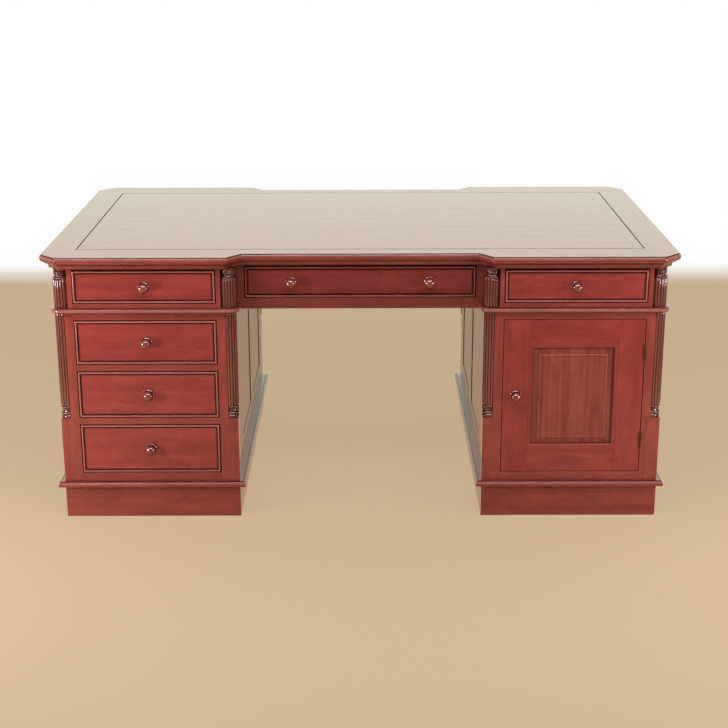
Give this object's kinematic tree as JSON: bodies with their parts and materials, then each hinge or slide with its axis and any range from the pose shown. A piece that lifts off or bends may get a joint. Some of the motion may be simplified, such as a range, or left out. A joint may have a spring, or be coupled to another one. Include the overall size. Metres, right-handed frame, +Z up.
{
  "type": "partners desk",
  "caption": "Double-sided pedestal desk with a breakfront top, reeded corner columns, drawers and a panelled cupboard on each face.",
  "frame": {"origin": "on the floor under the middle of the top", "axes": "+X along the desk to the right of a sitter at the front face, +Y from the front face to the rear face, +Z up"},
  "size_m": [1.812, 1.074, 0.79],
  "materials": {
    "mahogany": "french polished red-brown mahogany",
    "turned_mahogany": "turned and polished, darker than the flat boards",
    "drawer_lining": "plain waxed secondary wood",
    "brass": "aged polished brass"
  },
  "bodies": {
    "carcass": {"top_panel": "mahogany", "top_border": "mahogany", "top_edge_moulding": "mahogany", "frieze_posts": "mahogany", "frieze_rails": "mahogany", "frieze_boards": "mahogany", "frieze_columns": "turned_mahogany", "waist_mouldings": "mahogany", "pedestal_posts": "mahogany", "pedestal_columns": "turned_mahogany", "pedestal_rails": "mahogany", "pedestal_side_frames": "mahogany", "pedestal_side_panels": "mahogany", "pedestal_boards": "drawer_lining", "drawer_runners": "drawer_lining", "plinths": "mahogany", "base_mouldings": "mahogany", "post_hinges": "brass"},
    "front_upper_drawer": {"front_upper_drawer_front": "mahogany", "front_upper_drawer_box": "drawer_lining", "front_upper_drawer_knob": "turned_mahogany"},
    "front_middle_drawer": {"front_middle_drawer_front": "mahogany", "front_middle_drawer_box": "drawer_lining", "front_middle_drawer_knob": "turned_mahogany"},
    "front_lower_drawer": {"front_lower_drawer_front": "mahogany", "front_lower_drawer_box": "drawer_lining", "front_lower_drawer_knob": "turned_mahogany"},
    "front_frieze_left_drawer": {"front_frieze_left_drawer_front": "mahogany", "front_frieze_left_drawer_box": "drawer_lining", "front_frieze_left_drawer_knob": "turned_mahogany"},
    "front_frieze_right_drawer": {"front_frieze_right_drawer_front": "mahogany", "front_frieze_right_drawer_box": "drawer_lining", "front_frieze_right_drawer_knob": "turned_mahogany"},
    "front_frieze_centre_drawer": {"front_frieze_centre_drawer_front": "mahogany", "front_frieze_centre_drawer_box": "drawer_lining", "front_frieze_centre_drawer_knob": "turned_mahogany"},
    "front_door": {"front_door_leaf": "mahogany", "front_door_knob": "turned_mahogany", "front_door_hinges": "brass"},
    "rear_upper_drawer": {"rear_upper_drawer_front": "mahogany", "rear_upper_drawer_box": "drawer_lining", "rear_upper_drawer_knob": "turned_mahogany"},
    "rear_middle_drawer": {"rear_middle_drawer_front": "mahogany", "rear_middle_drawer_box": "drawer_lining", "rear_middle_drawer_knob": "turned_mahogany"},
    "rear_lower_drawer": {"rear_lower_drawer_front": "mahogany", "rear_lower_drawer_box": "drawer_lining", "rear_lower_drawer_knob": "turned_mahogany"},
    "rear_frieze_left_drawer": {"rear_frieze_left_drawer_front": "mahogany", "rear_frieze_left_drawer_box": "drawer_lining", "rear_frieze_left_drawer_knob": "turned_mahogany"},
    "rear_frieze_right_drawer": {"rear_frieze_right_drawer_front": "mahogany", "rear_frieze_right_drawer_box": "drawer_lining", "rear_frieze_right_drawer_knob": "turned_mahogany"},
    "rear_frieze_centre_drawer": {"rear_frieze_centre_drawer_front": "mahogany", "rear_frieze_centre_drawer_box": "drawer_lining", "rear_frieze_centre_drawer_knob": "turned_mahogany"},
    "rear_door": {"rear_door_leaf": "mahogany", "rear_door_knob": "turned_mahogany", "rear_door_hinges": "brass"}
  },
  "joints": [
    {"name": "front_upper_drawer_slide", "type": "slide", "parent": "carcass", "child": "front_upper_drawer", "axis": [0, -1, 0], "range_m": [0, 0.36]},
    {"name": "front_middle_drawer_slide", "type": "slide", "parent": "carcass", "child": "front_middle_drawer", "axis": [0, -1, 0], "range_m": [0, 0.36]},
    {"name": "front_lower_drawer_slide", "type": "slide", "parent": "carcass", "child": "front_lower_drawer", "axis": [0, -1, 0], "range_m": [0, 0.36]},
    {"name": "front_frieze_left_drawer_slide", "type": "slide", "parent": "carcass", "child": "front_frieze_left_drawer", "axis": [0, -1, 0], "range_m": [0, 0.36]},
    {"name": "front_frieze_right_drawer_slide", "type": "slide", "parent": "carcass", "child": "front_frieze_right_drawer", "axis": [0, -1, 0], "range_m": [0, 0.36]},
    {"name": "front_frieze_centre_drawer_slide", "type": "slide", "parent": "carcass", "child": "front_frieze_centre_drawer", "axis": [0, -1, 0], "range_m": [0, 0.32]},
    {"name": "front_door_swing", "type": "hinge", "parent": "carcass", "child": "front_door", "pos_m": [0.8139, -0.5092, 0.3685], "axis": [0, 0, 1], "range_deg": [0, 115]},
    {"name": "rear_upper_drawer_slide", "type": "slide", "parent": "carcass", "child": "rear_upper_drawer", "axis": [0, 1, 0], "range_m": [0, 0.36]},
    {"name": "rear_middle_drawer_slide", "type": "slide", "parent": "carcass", "child": "rear_middle_drawer", "axis": [0, 1, 0], "range_m": [0, 0.36]},
    {"name": "rear_lower_drawer_slide", "type": "slide", "parent": "carcass", "child": "rear_lower_drawer", "axis": [0, 1, 0], "range_m": [0, 0.36]},
    {"name": "rear_frieze_left_drawer_slide", "type": "slide", "parent": "carcass", "child": "rear_frieze_left_drawer", "axis": [0, 1, 0], "range_m": [0, 0.36]},
    {"name": "rear_frieze_right_drawer_slide", "type": "slide", "parent": "carcass", "child": "rear_frieze_right_drawer", "axis": [0, 1, 0], "range_m": [0, 0.36]},
    {"name": "rear_frieze_centre_drawer_slide", "type": "slide", "parent": "carcass", "child": "rear_frieze_centre_drawer", "axis": [0, 1, 0], "range_m": [0, 0.32]},
    {"name": "rear_door_swing", "type": "hinge", "parent": "carcass", "child": "rear_door", "pos_m": [-0.8139, 0.5092, 0.3685], "axis": [0, 0, 1], "range_deg": [0, 115]}
  ]
}
